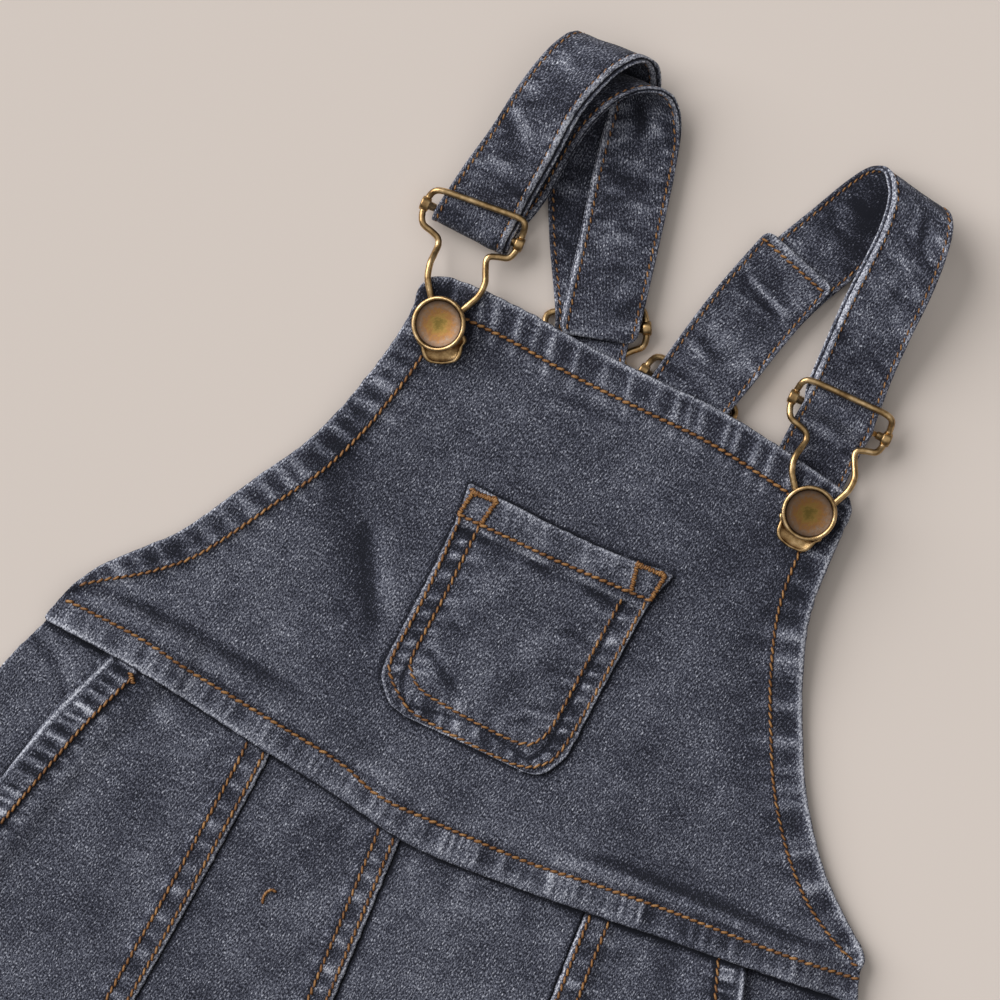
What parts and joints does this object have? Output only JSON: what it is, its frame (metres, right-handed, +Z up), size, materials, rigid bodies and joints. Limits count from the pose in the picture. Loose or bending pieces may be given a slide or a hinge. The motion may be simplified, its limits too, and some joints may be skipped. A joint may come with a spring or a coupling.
{
  "type": "kids dungarees",
  "caption": "Child's denim dungarees lying flat: bib with chest pocket, looped straps on slider buckles hooked over rivet buttons, slanted front pockets, straight legs.",
  "frame": {"origin": "on the resting face under the middle of the back waist", "axes": "+Y along the garment to the shoulder straps, +X across it to the right as seen from above, +Z up from the surface"},
  "size_m": [0.335, 0.8378, 0.0229],
  "materials": {
    "denim": "washed grey-blue twill denim with pale worn seams and orange-brown topstitching",
    "brass": "antique brass wire, satin",
    "button": "dished rivet button in aged copper and brass, bare face"
  },
  "bodies": {
    "root": {"back_bib": "denim", "back_leg_left": "denim", "back_leg_right": "denim", "hip_piece_left": "denim", "hip_piece_right": "denim", "centre_front_left": "denim", "centre_front_right": "denim", "side_front_left": "denim", "side_front_right": "denim", "bib": "denim", "chest_pocket": "denim", "strap_left": "denim", "strap_right": "denim", "buckle_front_left": "brass", "buckle_front_right": "brass", "buckle_back_left": "brass", "buckle_back_right": "brass", "slider_front_left": "brass", "slider_front_right": "brass", "slider_back_left": "brass", "slider_back_right": "brass", "button_front_left": "button", "button_front_right": "button", "button_back_left": "button", "button_back_right": "button"}
  },
  "joints": []
}
